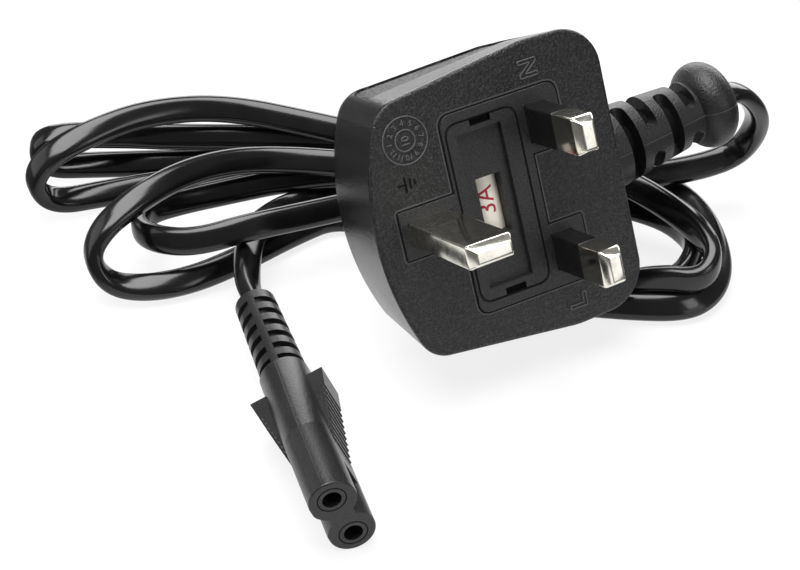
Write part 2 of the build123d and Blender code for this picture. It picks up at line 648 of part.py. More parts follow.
def plug_parts():
    """Every piece of the plug, in the plug frame."""
    parts = {}
    parts["plug_live_core"] = plug_live_core()
    parts["plug_neutral_core"] = plug_neutral_core()
    for name, side in (("live_pin", -1), ("neutral_pin", 1)):
        at = Pos(side * PIN_PITCH_X, 0, 0)
        parts[name + "_sleeve"] = at * sleeve_tube()
        parts[name] = at * blade(PIN_WIDE, PIN_THICK, PIN_LONG) - parts[name + "_sleeve"]
    parts["neutral_pin"] = parts["neutral_pin"] - parts["plug_neutral_core"]
    parts["earth_pin"] = Pos(0, EARTH_Y, 0) * blade(EARTH_WIDE, EARTH_TALL, EARTH_LONG)
    parts["fuse_tube"] = fuse_tube()
    parts["fuse_cap_pin_side"] = fuse_cap(-1)
    parts["fuse_cap_load_side"] = fuse_cap(1)
    parts["fuse_wire"] = fuse_wire()
    parts["fuse_carrier"] = fuse_carrier()
    parts["fuse_clip_pin_side"] = clip_pin_side()
    parts["fuse_clip_load_side"] = clip_load_side()
    held = ["plug_live_core", "plug_neutral_core", "live_pin", "neutral_pin", "live_pin_sleeve",
            "neutral_pin_sleeve", "earth_pin", "fuse_clip_pin_side", "fuse_clip_load_side"]
    floor = FUSE_Z - FUSE_CAP_R - GRIP_GAP
    low = FUSE_Y - POCKET_HALF_Y
    high = FUSE_Y + POCKET_HALF_Y
    pocket = block(-POCKET_HALF_X, POCKET_HALF_X, low, high, floor, CUT_PAST)
    bridge = bridge_blank() - carrier_seat(DRAWER_GAP, CARRIER_THICK) - pocket
    relief = relief_place() * (plug_relief() - plug_slots())
    body = plug_body()
    moulding = body - plug_grips(body) + relief - bridge_blank() - plug_stub()
    for name in held:
        bridge = bridge - parts[name]
        moulding = moulding - parts[name]
    parts["pin_bridge"] = bridge
    parts["plug_overmould"] = moulding
    return parts


def connector_parts():
    """Every piece of the connector, in the connector frame."""
    parts = {}
    parts["contact_live"] = contact(1)
    parts["contact_neutral"] = contact(-1)
    parts["connector_live_core"] = connector_core(1)
    parts["connector_neutral_core"] = connector_core(-1)
    parts["contact_holder"] = contact_holder()
    moulding = connector_shell() + connector_wings() - connector_cuts() - connector_stub()
    for side in (-1, 1):
        moulding = moulding - rod(RING_R, (0, side * HOLE_Y, HOLDER_BACK), (0, side * HOLE_Y, CUT_PAST))
    for name in parts:
        moulding = moulding - parts[name]
    parts["connector_overmould"] = moulding
    return parts


def main():
    """Build, place and write every piece."""
    os.makedirs("parts", exist_ok=True)
    plug = plug_place()
    connector = connector_place()
    placed = {name: plug * shape for name, shape in plug_parts().items()}
    placed.update({name: connector * shape for name, shape in connector_parts().items()})
    boxes = [shape.bounding_box() for shape in placed.values()]
    low = [round(min(getattr(b.min, axis) for b in boxes), 3) for axis in "XYZ"]
    high = [round(max(getattr(b.max, axis) for b in boxes), 3) for axis in "XYZ"]
    print("box of plug and connector", low, high)
    placed["cord"] = cord(plug, connector)
    home = Pos(-MIDDLE_X, -MIDDLE_Y, 0)
    for name, shape in placed.items():
        shape = home * shape
        export_step(shape, "parts/" + name + ".step")
        print(name, "solids", len(shape.solids()), "volume", round(shape.volume, 2))


main()
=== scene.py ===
import math

import bmesh
import bpy
import numpy as np
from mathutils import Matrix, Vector


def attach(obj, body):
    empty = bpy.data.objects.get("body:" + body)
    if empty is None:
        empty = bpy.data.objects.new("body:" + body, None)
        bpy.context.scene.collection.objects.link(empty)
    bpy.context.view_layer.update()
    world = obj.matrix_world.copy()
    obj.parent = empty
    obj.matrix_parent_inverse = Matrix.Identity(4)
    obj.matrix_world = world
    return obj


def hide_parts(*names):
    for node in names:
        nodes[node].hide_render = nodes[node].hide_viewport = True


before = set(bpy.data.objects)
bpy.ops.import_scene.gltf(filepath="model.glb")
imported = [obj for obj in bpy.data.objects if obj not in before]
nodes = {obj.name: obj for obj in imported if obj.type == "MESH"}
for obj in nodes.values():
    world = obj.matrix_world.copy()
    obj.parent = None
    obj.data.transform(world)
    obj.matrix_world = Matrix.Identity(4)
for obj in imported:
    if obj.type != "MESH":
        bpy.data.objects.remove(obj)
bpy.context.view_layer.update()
print("frame loaded:", len(nodes), "CAD nodes")

mm = 0.001

# where plug and connector lie, the same numbers as in the part's own source
placing = {
    "shift": (9.58, 11.76, 0.0),
    "plugAt": (0.0, 0.0, 30.1),
    "plugAzimuth": -63.2,
    "plugRise": 24.2,
    "plugRoll": 2.2,
    "connectorAt": (-33.5, -54.0, 7.5),
    "connectorAzimuth": -72.7,
    "connectorRoll": 22.4,
}


def heading(azimuth, rise):
    # unit vector: cosine of the rise round the azimuth, sine of the rise upward
    a, r = math.radians(azimuth), math.radians(rise)
    return np.array([math.cos(r) * math.cos(a), math.cos(r) * math.sin(a), math.sin(r)])


def rolledUp(azimuth, rise, roll):
    # the upward axis square to a heading, turned about it by the roll
    out = heading(azimuth, rise)
    side = np.cross(out, (0, 0, 1))
    side /= np.linalg.norm(side)
    r = math.radians(roll)
    return np.cross(side, out) * math.cos(r) + side * math.sin(r)


shift = np.array(placing["shift"])
plugOut = heading(placing["plugAzimuth"], placing["plugRise"])
plugX = rolledUp(placing["plugAzimuth"], placing["plugRise"], placing["plugRoll"])
plugY = np.cross(plugOut, plugX)
plugAt = np.array(placing["plugAt"]) + shift
noseOut = heading(placing["connectorAzimuth"], 0)
noseY = rolledUp(placing["connectorAzimuth"], 0, placing["connectorRoll"])
noseX = np.cross(noseY, noseOut)
noseAt = np.array(placing["connectorAt"]) + shift
relief = {
    "hinge": (0.0, -16.0, -9.2),     # where the relief starts to lean, in plug axes
    "lean": 4.7,
    "start": (-13.4, 7.41),          # place along its axis and radius there
    "neck": (-32.8, 5.5),
    "rim": (-36.0, 7.7),
    "end": (-39.6, 5.0),
}


def onPlug(points):
    # plug millimetres to metres in the row frame
    p = np.asarray(points, float)
    return (plugAt + p[..., :1] * plugX + p[..., 1:2] * plugY + p[..., 2:3] * plugOut) * mm


def onRelief(points):
    # relief millimetres, along its own leaning axis, to metres in the row frame
    p = np.asarray(points, float) - (0, relief["hinge"][1], 0)
    c, s = math.cos(math.radians(relief["lean"])), math.sin(math.radians(relief["lean"]))
    turned = np.stack([p[..., 0] * c - p[..., 1] * s, p[..., 0] * s + p[..., 1] * c, p[..., 2]], -1)
    return onPlug(turned + relief["hinge"])


def onConnector(points):
    # connector millimetres to metres in the row frame
    p = np.asarray(points, float)
    return (noseAt + p[..., :1] * noseX + p[..., 1:2] * noseY + p[..., 2:3] * noseOut) * mm


# mesh helpers
def gridFaces(rows, cols, closedRows=False):
    # quads of a grid whose columns close on themselves, and whose rows do so when asked
    i, j = np.meshgrid(np.arange(rows if closedRows else rows - 1), np.arange(cols), indexing="ij")
    k, m = (j + 1) % cols, (i + 1) % rows
    quads = np.stack([i * cols + j, i * cols + k, m * cols + k, m * cols + j], -1)
    return quads.reshape(-1, 4).tolist()


def endFaces(rows, cols):
    # one face over the first ring of a grid and one over the last
    return [list(range(cols)), list(range((rows - 1) * cols, rows * cols))]


def addMesh(name, verts, faces, sharp=20):
    # faces turned outward, shaded smooth but for edges that turn by more than the sharp degrees
    mesh = bpy.data.meshes.new(name)
    mesh.from_pydata(np.asarray(verts, float).reshape(-1, 3).tolist(), [], faces)
    mesh.validate()
    build = bmesh.new()
    build.from_mesh(mesh)
    bmesh.ops.recalc_face_normals(build, faces=build.faces)
    build.to_mesh(mesh)
    build.free()
    mesh.polygons.foreach_set("use_smooth", np.ones(len(mesh.polygons), bool))
    mesh.set_sharp_from_angle(angle=math.radians(sharp))
    mesh.update()
    obj = bpy.data.objects.new(name, mesh)
    bpy.context.scene.collection.objects.link(obj)
    return obj


def addPiece(name, verts, faces, finish, body="lead", sharp=20, standsFor=()):
    # a mesh in its finish, on the body that carries it and in place of the nodes that it stands for
    obj = addMesh(name, verts, faces, sharp)
    obj.data.materials.append(finishes[finish])
    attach(obj, body)
    if standsFor:
        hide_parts(*standsFor)
    return obj


def carried(path, across, up, section):
    # each point of a section, as across and up amounts, added to each point of a path
    s = np.asarray(section, float)
    return path[:, None] + s[None, :, :1] * across[:, None] + s[None, :, 1:] * up[:, None]


def onFlat(outline):
    # points or directions of a plane, with no height
    return np.c_[outline, np.zeros(len(outline))]


def upright(across):
    # straight up, once for each across direction
    return np.broadcast_to((0.0, 0.0, 1.0), across.shape)


def circle(steps):
    # directions evenly round a circle: cosine, sine and no height
    phi = np.linspace(0, 2 * np.pi, steps, endpoint=False)
    return np.stack([np.cos(phi), np.sin(phi), np.zeros(steps)], 1)


def lowRidge(half, crest, foot, top):
    # section of a ridge: half its width at the foot, and half its width at the top
    return [(-half, foot), (half, foot), (crest, top), (-crest, top)]


def softLoop(corners, reach, steps=6):
    # closed outline: a parabola at each corner, from a reach before it to a reach after it
    c = np.asarray(corners, float)
    before, after = np.roll(c, 1, 0) - c, np.roll(c, -1, 0) - c
    before /= np.linalg.norm(before, axis=1)[:, None]
    after /= np.linalg.norm(after, axis=1)[:, None]
    far = np.broadcast_to(np.asarray(reach, float), (len(c),))[:, None, None]
    t = np.linspace(0, 1, steps)[None, :, None]
    bend = (1 - t) ** 2 * before[:, None] * far + t ** 2 * after[:, None] * far
    return (c[:, None] + bend).reshape(-1, 2)


def loopSides(outline):
    # outward side of a counterclockwise outline: its run turned right by a quarter
    run = np.roll(outline, -1, 0) - np.roll(outline, 1, 0)
    run /= np.linalg.norm(run, axis=1)[:, None]
    return np.stack([run[:, 1], -run[:, 0]], 1)


letters = {"curveSteps": 4, "tall": 0.7}     # tall is a letter's height as a share of its size


def lettering(words, size, thick, slices=0):
    # flat letters with upright sides, as vertices about their own middle and faces, in millimetres;
    # slices cut them across at even heights, for bending
    curve = bpy.data.curves.new("letters", "FONT")
    curve.body = words
    curve.size = size
    curve.extrude = thick / 2
    curve.resolution_u = letters["curveSteps"]
    curve.align_x = "CENTER"
    holder = bpy.data.objects.new("letters", curve)
    mesh = bpy.data.meshes.new_from_object(holder)
    if slices:
        build = bmesh.new()
        build.from_mesh(mesh)
        for height in np.linspace(0, size * letters["tall"], slices + 2)[1:-1]:
            whole = build.verts[:] + build.edges[:] + build.faces[:]
            bmesh.ops.bisect_plane(build, geom=whole, plane_co=(0, height, 0), plane_no=(0, 1, 0))
        build.to_mesh(mesh)
        build.free()
    flat = np.empty(len(mesh.vertices) * 3)
    mesh.vertices.foreach_get("co", flat)
    faces = [list(p.vertices) for p in mesh.polygons]
    bpy.data.objects.remove(holder)
    bpy.data.meshes.remove(mesh)
    verts = flat.reshape(-1, 3)
    return verts - (verts.min(0) + verts.max(0)) / 2, faces


def gathered(parts):
    # several vertex and face lists as one
    verts, faces, count = [], [], 0
    for v, f in parts:
        verts.append(v)
        faces += [[k + count for k in face] for face in f]
        count += len(v)
    return np.vstack(verts), faces


def bars(boxes):
    # upright bars from rows of low x, high x, low y, high y, low z, high z
    b = np.asarray(boxes, float)
    pick = np.array([[i, 2 + j, 4 + k] for k in (0, 1) for i, j in ((0, 0), (1, 0), (1, 1), (0, 1))])
    verts = b[:, pick].reshape(-1, 3)
    sides = np.array([[0, 1, 2, 3], [4, 5, 6, 7], [0, 1, 5, 4], [1, 2, 6, 5], [2, 3, 7, 6], [3, 0, 4, 7]])
    faces = (np.arange(len(b))[:, None, None] * 8 + sides).reshape(-1, 4).tolist()
    return verts, faces


# node helpers
def newMaterial(name):
    # a fresh material with its nodes, its links and its surface shader
    mat = bpy.data.materials.new(name)
    mat.use_nodes = True
    return mat, mat.node_tree.nodes, mat.node_tree.links, mat.node_tree.nodes["Principled BSDF"]


def addNode(n, kind, **sockets):
    # a node with its input values set by name
    node = n.new(kind)
    for key, value in sockets.items():
        node.inputs[key.replace("_", " ")].default_value = value
    return node


def mathNode(n, link, operation, *values):
    # one operation on numbers and on what other nodes give
    node = n.new("ShaderNodeMath")
    node.operation = operation
    for socket, value in zip(node.inputs, values):
        if isinstance(value, (int, float)):
            socket.default_value = value
        else:
            link.new(value, socket)
    return node.outputs[0]


def noiseNode(n, link, vector, scale, detail):
    # a noise of so many grains to the metre, with so many finer layers in it
    node = addNode(n, "ShaderNodeTexNoise", Scale=scale, Detail=detail)
    link.new(vector, node.inputs["Vector"])
    return node.outputs["Fac"]


def bumpNode(n, link, height, shader, strength, deep):
    # a height from none to one as a bump, so many metres deep
    bump = addNode(n, "ShaderNodeBump", Strength=strength, Distance=deep)
    link.new(height, bump.inputs["Height"])
    link.new(bump.outputs["Normal"], shader.inputs["Normal"])


shadeSpan = (0.3, 0.7)       # stretch of a noise's range over which one shade turns into the other


def shades(n, link, value, dark, light, shader):
    # two near shades mixed by a noise
    ramp = n.new("ShaderNodeValToRGB")
    for element, place, color in zip(ramp.color_ramp.elements, shadeSpan, (dark, light)):
        element.position = place
        element.color = (*color, 1)
    link.new(value, ramp.inputs["Fac"])
    link.new(ramp.outputs["Color"], shader.inputs["Base Color"])


def tinted(color, share):
    # a colour times a share, no channel over one
    return [min(c * share, 1) for c in color]


def contrast(n, link, value, times, plus):
    # a noise stretched to times itself plus a number, held between none and one
    spread = mathNode(n, link, "MULTIPLY_ADD", value, times, plus)
    return mathNode(n, link, "MINIMUM", mathNode(n, link, "MAXIMUM", spread, 0.0), 1.0)


def mixColor(n, link, share, first, second):
    # two colours, or colours from other nodes, mixed by a share
    mix = n.new("ShaderNodeMix")
    mix.data_type = "RGBA"
    link.new(share, mix.inputs["Factor"])
    for socket, color in zip((mix.inputs[6], mix.inputs[7]), (first, second)):
        if isinstance(color, tuple):
            socket.default_value = (*color, 1)
        else:
            link.new(color, socket)
    return mix.outputs[2]


# finishes
moulding = {
    "wall": (0.006, 0.006, 0.0065),
    # the pit and peak shades are painted shade in the grain's pits and painted glints on its peaks
    "shadedPit": (0.002, 0.002, 0.002),
    "glintPeak": (0.024, 0.024, 0.025),
    # grip is painted light: the finger recesses' lighter shade stands in for the light they catch
    "grip": (0.060, 0.060, 0.062),
    "contrast": (4.0, -1.75),         # stretch of the grain's noise, from pit to peak
    "faceEdge": -0.35,                # the grain starts this far behind the pin face
    "gripY": (9.5, 15.5),             # middle and half length of the finger recesses
    "gripZ": (-11.9, 4.5),
    "tailEdge": -13.4,                # the relief, past this, is duller than the walls
    "wallRough": 0.24,
    "faceRough": 0.16,                # added on the face
    "gripRough": 0.30,                # added in the recesses
    "tailRough": 0.20,                # added on the relief
    "patch": (70.0, 3.0),             # slow noise that varies the roughness, and how far
    "patchRough": 0.08,
    "faceGrain": (2500.0, 2.0),
    "gripGrain": (1500.0, 3.0),
    "grainDeep": 0.00028,             # metres
    "gripDeep": 2.0,                  # the recesses' grain is this many times as deep
    "wallGrain": 0.20,                # shares of the grain's depth on walls and relief
    "tailGrain": 0.25,
}


def plugAxis(n, link, coord, axis):
    # how far a point lies along one of the plug's axes, in metres
    dot = n.new("ShaderNodeVectorMath")
    dot.operation = "DOT_PRODUCT"
    dot.inputs[1].default_value = axis
    link.new(coord.outputs["Object"], dot.inputs[0])
    return mathNode(n, link, "SUBTRACT", dot.outputs["Value"], float(plugAt @ axis) * mm)


def mouldingMaterial():
    # spark-grained pin face with painted glints, satin walls and coarse finger recesses painted lighter as
    # the light they catch, told apart by plug axes
    s = moulding
    mat, n, link, shader = newMaterial("plugMoulding")
    coord = n.new("ShaderNodeTexCoord")
    y = plugAxis(n, link, coord, plugY)
    z = plugAxis(n, link, coord, plugOut)
    face = mathNode(n, link, "GREATER_THAN", z, s["faceEdge"] * mm)
    inY = mathNode(n, link, "COMPARE", y, s["gripY"][0] * mm, s["gripY"][1] * mm)
    inZ = mathNode(n, link, "COMPARE", z, s["gripZ"][0] * mm, s["gripZ"][1] * mm)
    grip = mathNode(n, link, "MULTIPLY", inY, inZ)
    tail = mathNode(n, link, "LESS_THAN", y, s["tailEdge"] * mm)
    fine = noiseNode(n, link, coord.outputs["Object"], *s["faceGrain"])
    coarse = noiseNode(n, link, coord.outputs["Object"], *s["gripGrain"])
    slow = noiseNode(n, link, coord.outputs["Object"], *s["patch"])
    share = mathNode(n, link, "MULTIPLY_ADD", face, 1 - s["wallGrain"], s["wallGrain"])
    share = mathNode(n, link, "MULTIPLY_ADD", tail, s["tailGrain"], share)
    height = mathNode(n, link, "MULTIPLY", fine, share)
    deeper = mathNode(n, link, "MULTIPLY", coarse, grip)
    height = mathNode(n, link, "MULTIPLY_ADD", deeper, s["gripDeep"], height)
    bumpNode(n, link, height, shader, 1.0, s["grainDeep"])
    rough = mathNode(n, link, "MULTIPLY_ADD", face, s["faceRough"], s["wallRough"])
    rough = mathNode(n, link, "MULTIPLY_ADD", grip, s["gripRough"], rough)
    rough = mathNode(n, link, "MULTIPLY_ADD", tail, s["tailRough"], rough)
    vary = mathNode(n, link, "MULTIPLY_ADD", slow, 2 * s["patchRough"], -s["patchRough"])
    link.new(mathNode(n, link, "ADD", rough, vary), shader.inputs["Roughness"])
    # painted shade and glints on the grain: the pits are painted dark as shade and the peaks lighter as
    # glints
    grainGlints = mixColor(n, link, contrast(n, link, fine, *s["contrast"]), s["shadedPit"], s["glintPeak"])
    color = mixColor(n, link, face, s["wall"], grainGlints)
    # painted light in the recesses: lighter than the walls, as the light they catch, with their pits painted
    # dark
    gripLight = mixColor(n, link, contrast(n, link, coarse, *s["contrast"]), s["shadedPit"], s["grip"])
    link.new(mixColor(n, link, grip, color, gripLight), shader.inputs["Base Color"])
    return mat


blackPlastic = {
    "satin": {
        "dark": 0.006, "light": 0.016, "rough": 0.34, "vary": 0.10,
        "grain": 2400.0, "depth": 0.35, "shine": 0.45,
    },
    "insert": {
        "dark": 0.002, "light": 0.026, "rough": 0.42, "vary": 0.12,
        "grain": 4200.0, "depth": 0.70, "shine": 0.45,
    },
    "sleeve": {
        "dark": 0.005, "light": 0.008, "rough": 0.26, "vary": 0.08,
        "grain": 2000.0, "depth": 0.10, "shine": 0.5,
    },
    # mark: lighter than the face, a painted highlight on the raised letters and the dial
    "mark": {
        "dark": 0.080, "light": 0.110, "rough": 0.28, "vary": 0.06,
        "grain": 3000.0, "depth": 0.10, "shine": 0.5,
    },
    # ridge: lighter than the mouldings, a painted highlight along the mould lines and the bridge's lip
    "ridge": {
        "dark": 0.030, "light": 0.050, "rough": 0.32, "vary": 0.06,
        "grain": 3000.0, "depth": 0.10, "shine": 0.5,
    },
    # very dark and matte: painted shade in gaps, notches, slots and grooves, and on the earth sign
    "paintedShade": {
        "dark": 0.001, "light": 0.002, "rough": 0.85, "vary": 0.05,
        "grain": 2000.0, "depth": 0.10, "shine": 0.2,
    },
}
plasticGrain = {"layers": 2.0, "patch": (90.0, 3.0), "deep": 0.00012}


def plasticMaterial(name):
    # moulded grain as bump and shade, and a slow noise that shifts the roughness
    s, g = blackPlastic[name], plasticGrain
    mat, n, link, shader = newMaterial(name + "Plastic")
    shader.inputs["Specular IOR Level"].default_value = s["shine"]
    coord = n.new("ShaderNodeTexCoord")
    fine = noiseNode(n, link, coord.outputs["Object"], s["grain"], g["layers"])
    slow = noiseNode(n, link, coord.outputs["Object"], *g["patch"])
    bumpNode(n, link, fine, shader, s["depth"], g["deep"])
    rough = mathNode(n, link, "MULTIPLY_ADD", slow, 2 * s["vary"], s["rough"] - s["vary"])
    link.new(rough, shader.inputs["Roughness"])
    shades(n, link, fine, (s["dark"],) * 3, (s["light"],) * 3, shader)
    return mat


metal = {
    "nickel": {"color": (0.86, 0.83, 0.75), "rough": 0.15},
    "brass": {"color": (0.66, 0.48, 0.20), "rough": 0.26},
}
plating = {
    "scratch": (700.0, 4.0),
    "wave": (160.0, 2.0),
    "waveDepth": 0.05,
    "waveDeep": 0.0003,
    "smoothest": 0.5,         # share of the roughness where the scratches are lowest
    "shades": (0.84, 1.1),    # shares of the colour
}


def metalMaterial(name):
    # plating: a fine noise lifts the roughness and tints the surface, and slow waves dent it a little
    s, p = metal[name], plating
    mat, n, link, shader = newMaterial(name + "Metal")
    shader.inputs["Metallic"].default_value = 1.0
    coord = n.new("ShaderNodeTexCoord")
    fine = noiseNode(n, link, coord.outputs["Object"], *p["scratch"])
    slow = noiseNode(n, link, coord.outputs["Object"], *p["wave"])
    bumpNode(n, link, slow, shader, p["waveDepth"], p["waveDeep"])
    rough = mathNode(n, link, "MULTIPLY_ADD", fine, s["rough"], s["rough"] * p["smoothest"])
    link.new(rough, shader.inputs["Roughness"])
    shades(n, link, fine, *(tinted(s["color"], share) for share in p["shades"]), shader)
    return mat


plainFinish = {
    "ceramic": {"color": (0.94, 0.88, 0.78), "rough": 0.35},
    "print": {"color": (0.42, 0.016, 0.045), "rough": 0.5},
    "coreLive": {"color": (0.22, 0.08, 0.03), "rough": 0.45},
    "coreNeutral": {"color": (0.04, 0.12, 0.42), "rough": 0.45},
}
mottle = {"noise": (600.0, 3.0), "shades": (0.88, 1.06)}


def plainMaterial(name):
    # soft mottling between two near shades
    s = plainFinish[name]
    mat, n, link, shader = newMaterial(name)
    shader.inputs["Roughness"].default_value = s["rough"]
    coord = n.new("ShaderNodeTexCoord")
    fine = noiseNode(n, link, coord.outputs["Object"], *mottle["noise"])
    shades(n, link, fine, *(tinted(s["color"], share) for share in mottle["shades"]), shader)
    return mat


cableFinish = {
    "dark": 0.003,
    "light": 0.006,
    "rough": 0.18,
    "vary": 0.06,             # how far the ripples shift the roughness
    "ripple": (130.0, 2.0),
    "fine": (1800.0, 2.0),
    "fineShare": 0.15,
    "depth": 0.10,
    "deep": 0.0002,
}


def cableMaterial():
    # glossy sheath with long shallow ripples, drawn on the cable's own map
    s = cableFinish
    mat, n, link, shader = newMaterial("cableSheath")
    coord = n.new("ShaderNodeTexCoord")
    ripple = noiseNode(n, link, coord.outputs["UV"], *s["ripple"])
    fine = noiseNode(n, link, coord.outputs["Object"], *s["fine"])
    height = mathNode(n, link, "MULTIPLY_ADD", fine, s["fineShare"], ripple)
    bumpNode(n, link, height, shader, s["depth"], s["deep"])
    rough = mathNode(n, link, "MULTIPLY_ADD", ripple, 2 * s["vary"], s["rough"] - s["vary"])
    link.new(rough, shader.inputs["Roughness"])
    shades(n, link, ripple, (s["dark"],) * 3, (s["light"],) * 3, shader)
    return mat


finishes = {
    "moulding": mouldingMaterial(),
    "cable": cableMaterial(),
    **{name: plasticMaterial(name) for name in blackPlastic},
    **{name: metalMaterial(name) for name in metal},
    **{name: plainMaterial(name) for name in plainFinish},
}
nodeFinish = {
    "plug_overmould": "moulding",
    "pin_bridge": "insert",
    "earth_pin": "nickel",
    "live_pin": "nickel",
    "neutral_pin": "nickel",
    "live_pin_sleeve": "sleeve",
    "neutral_pin_sleeve": "sleeve",
    "fuse_carrier": "insert",
    "fuse_tube": "ceramic",
    "fuse_cap_pin_side": "nickel",
    "fuse_cap_load_side": "nickel",
    "fuse_wire": "brass",
    "fuse_clip_pin_side": "brass",
    "fuse_clip_load_side": "brass",
    "plug_live_core": "coreLive",
    "plug_neutral_core": "coreNeutral",
    "cord": "cable",
    "connector_overmould": "satin",
    "contact_holder": "insert",
    "contact_live": "brass",
    "contact_neutral": "brass",
    "connector_live_core": "coreLive",
    "connector_neutral_core": "coreNeutral",
}
for nodeName, finish in nodeFinish.items():
    nodes[nodeName].data.materials.clear()
    nodes[nodeName].data.materials.append(finishes[finish])
print("finishes on", len(nodeFinish), "nodes")


# pins and their sleeves
pins = {
    "earth_pin": {"at": (0.0, 22.23), "half": (2.0, 4.0), "long": 22.7, "sleeved": False},
    "live_pin": {"at": (-11.11, 0.0), "half": (3.175, 2.0), "long": 17.7, "sleeved": True},
    "neutral_pin": {"at": (11.11, 0.0), "half": (3.175, 2.0), "long": 17.7, "sleeved": True},
}
pinForm = {
    "tail": -12.0,
    "corner": 0.42,
    "cornerSteps": 6,
    "cornerShrink": 0.3,      # a corner's radius loses this share of the inset, down to the least
    "cornerLeast": 0.12,
    "tipLong": 1.7,
    "tipIn": 0.9,
    "edge": 0.30,             # how far an edge of the tip is eased
    "edgeNear": 0.3,          # shares of that for the row next to an edge: along, and in
    "shoulderIn": 0.15,
    "endIn": 0.1,
    "sleeveFoot": -3.0,
    "sleeveTop": 9.5,
    "sleeveWall": 0.4,
    "neckEase": 0.1,
    "mouthEase": (0.15, 0.12),
}


def blockRings(half, rows):
    # rounded rectangle at each row of a place along the pin and an inset: corner arcs about
    # centres that move in with the inset
    f = pinForm
    z, inset = np.asarray(rows, float).T
    quarter = np.arange(4)[:, None] * np.pi / 2 + np.linspace(0, np.pi / 2, f["cornerSteps"])[None]
    phi = quarter.ravel()
    middle = np.repeat(np.arange(4) * np.pi / 2 + np.pi / 4, f["cornerSteps"])
    r = np.maximum(f["corner"] - f["cornerShrink"] * inset, f["cornerLeast"])[:, None]
    x = np.sign(np.cos(middle)) * (half[0] - inset[:, None] - r) + np.cos(phi) * r
    y = np.sign(np.sin(middle)) * (half[1] - inset[:, None] - r) + np.sin(phi) * r
    return np.stack([x, y, np.broadcast_to(z[:, None], x.shape)], -1)


def pinRows(pin):
    # place and inset from the hidden end, past the neck under a sleeve, to the tapered tip
    f = pinForm
    long, e, near = pin["long"], f["edge"], f["edgeNear"]
    shoulder, slope = long - f["tipLong"], f["tipIn"] / f["tipLong"]
    rows = [(f["tail"], 0.0)]
    if pin["sleeved"]:
        foot, top, wall, ease = f["sleeveFoot"], f["sleeveTop"], f["sleeveWall"], f["neckEase"]
        rows += [(foot, 0.0), (foot, wall), (top, wall), (top, ease), (top + ease, 0.0)]
    rows += [(shoulder - e, 0.0), (shoulder - e * near, e * slope * f["shoulderIn"])]
    rows += [(shoulder + e, e * slope), (long - e, f["tipIn"] - e * slope)]
    rows += [(long - e * near, f["tipIn"] + e * f["endIn"]), (long, f["tipIn"] + e)]
    return rows


def sleeveRows():
    # place and inset up the outside of a sleeve, over its eased mouth and down its inside
    f = pinForm
    foot, top, wall = f["sleeveFoot"], f["sleeveTop"], f["sleeveWall"]
    along, inward = f["mouthEase"]
    return [(foot, 0.0), (top - along, 0.0), (top, inward), (top, wall), (foot, wall)]


def buildPins():
    # rings at each row of a pin, closed at both ends, and rings of a sleeve that close on themselves
    for name, pin in pins.items():
        at = np.array([*pin["at"], 0.0])
        rings = blockRings(pin["half"], pinRows(pin))
        faces = gridFaces(*rings.shape[:2]) + endFaces(*rings.shape[:2])
        addPiece(name + "_blade", onPlug(rings + at), faces, "nickel", standsFor=[name])
        if pin["sleeved"]:
            rings = blockRings(pin["half"], sleeveRows())
            faces = gridFaces(*rings.shape[:2], closedRows=True)
            addPiece(name + "_cover", onPlug(rings + at), faces, "sleeve",
                     standsFor=[name + "_sleeve"])
    print("pins:", len(pins))


buildPins()

# painted shade: thin dark strips in the gaps round the bridge and the fuse carrier; painted highlight: a
# light lip round the bridge
bridgeLine = {
    "corners": [(-17, -4.3), (-6.2, -4.3), (-6.2, 2), (6.2, 2), (6.2, -4.3), (17, -4.3), (17, 17.2),
                (4.1, 17.2), (4.1, 27.6), (-4.1, 27.6), (-4.1, 17.2), (-17, 17.2)],
    "reach": [2, 0.4, 0.4, 0.4, 0.4, 2, 2, 0.4, 0.4, 0.4, 0.4, 2],
}
seams = {
    "bridge_seam_shade": {**bridgeLine, "from": 0.02, "to": 0.26, "top": 0.03, "finish": "paintedShade"},
    "bridge_lip_highlight": {**bridgeLine, "from": 0.26, "to": 0.52, "top": 0.05, "finish": "ridge"},
    "carrier_seam_shade": {
        "corners": [(-15.1, 3.8), (15.1, 3.8), (15.1, 16.4), (-15.1, 16.4)],
        "reach": [2, 2, 2, 2],
        "from": 0.1,
        "to": 0.34,
        "top": 0.32,
        "finish": "paintedShade",
    },
}
seamHigh = 0.4


def buildSeams():
    # a low rectangular section carried round an outline, just outside it
    for name, seam in seams.items():
        outline = softLoop(seam["corners"], seam["reach"])
        across = onFlat(loopSides(outline))
        a, b, top = seam["from"], seam["to"], seam["top"]
        section = [(a, top - seamHigh), (b, top - seamHigh), (b, top), (a, top)]
        ring = carried(onFlat(outline), across, upright(across), section)
        addPiece(name, onPlug(ring), gridFaces(*ring.shape[:2], closedRows=True), seam["finish"])
    print("seams:", len(seams))


buildSeams()

# painted shade: dark floors in the carrier's two pry notches
pryNotchShade = {"x": (14.02, 15.08), "y": (8.25, 11.95), "z": (-1.2, -0.35)}


def buildPryNotchShade():
    # one low bar at each end of the carrier, mirrored across its middle
    n = pryNotchShade
    low, high = n["x"]
    verts, faces = bars([(*side, *n["y"], *n["z"]) for side in ((low, high), (-high, -low))])
    addPiece("pry_notch_shade", onPlug(verts), faces, "paintedShade", body="fuse_drawer")
    print("pry notches: 2")


buildPryNotchShade()

